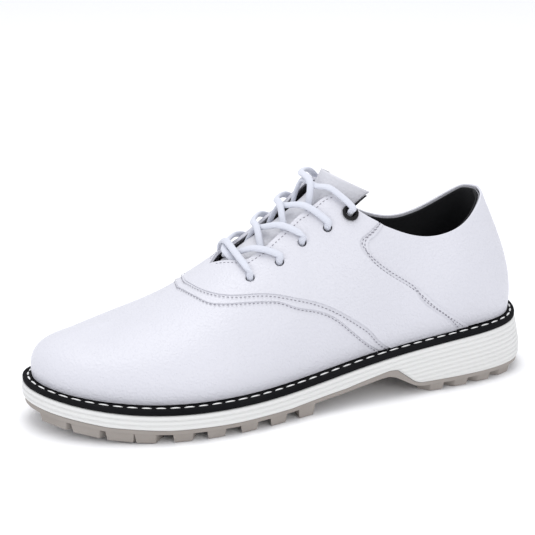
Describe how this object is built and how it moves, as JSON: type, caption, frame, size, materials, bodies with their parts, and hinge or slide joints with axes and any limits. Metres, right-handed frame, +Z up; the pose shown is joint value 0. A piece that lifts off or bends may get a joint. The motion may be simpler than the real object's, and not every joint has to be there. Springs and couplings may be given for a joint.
{
  "type": "golf shoe",
  "caption": "Left lace-up saddle golf shoe: white leather upper on a stitched black welt, ribbed white midsole with heel block and lugged grey rubber outsole.",
  "frame": {"origin": "centre of the footprint of the bounding box, on the ground under the lugs", "axes": "+X towards the heel and -X towards the toe; -Y the outer side and +Y the inner side of the foot; +Z up"},
  "size_m": [0.2958, 0.1077, 0.1229],
  "materials": {
    "white_leather": "fine-grained, semi-matte",
    "tongue_leather": "fine-grained, semi-matte",
    "white_midsole": "satin, fine moulded ribs",
    "grey_outsole": "matte moulded",
    "black_welt": "satin",
    "white_thread": "twisted thread",
    "black_lining": "knit",
    "padding_foam": "open foam",
    "insole_board": "pressed cellulose board",
    "shank_steel": "plain spring steel",
    "stiffener_fibre": "pressed cellulose board",
    "black_ring": "enamelled",
    "white_lace": "round braid",
    "lace_tip": "clear film over white"
  },
  "bodies": {
    "shoe": {"outsole": "grey_outsole", "midsole": "white_midsole", "shank": "shank_steel", "welt": "black_welt", "welt_thread": "white_thread", "insole_board": "insole_board", "toe_puff": "stiffener_fibre", "heel_counter": "stiffener_fibre", "collar_padding": "padding_foam", "vamp_lining": "white_leather", "quarter_lining": "black_lining", "vamp": "white_leather", "front_band": "white_leather", "saddle": "white_leather", "rear_band_outer": "white_leather", "rear_band_inner": "white_leather", "quarter_outer": "white_leather", "quarter_inner": "white_leather", "eyelet_backing_outer": "black_lining", "eyelet_backing_inner": "black_lining", "top_eyelet_outer": "black_ring", "top_eyelet_inner": "black_ring", "lace": "white_lace", "lace_tip_outer": "lace_tip", "lace_tip_inner": "lace_tip"},
    "tongue_flap": {"tongue": "tongue_leather", "tongue_padding": "black_lining"},
    "loose_footbed": {"footbed": "black_lining"}
  },
  "joints": [
    {"name": "tongue_press", "type": "hinge", "parent": "shoe", "child": "tongue_flap", "pos_m": [-0.0401, 0.0083, 0.064], "axis": [0, 1, 0], "range_deg": [0, 6], "stiffness_Nm_per_rad": 1, "springref_deg": -2.86},
    {"name": "footbed_lift", "type": "hinge", "parent": "shoe", "child": "loose_footbed", "pos_m": [-0.1369, 0.0043, 0.0243], "axis": [0, -1, 0], "range_deg": [0, 3]}
  ]
}
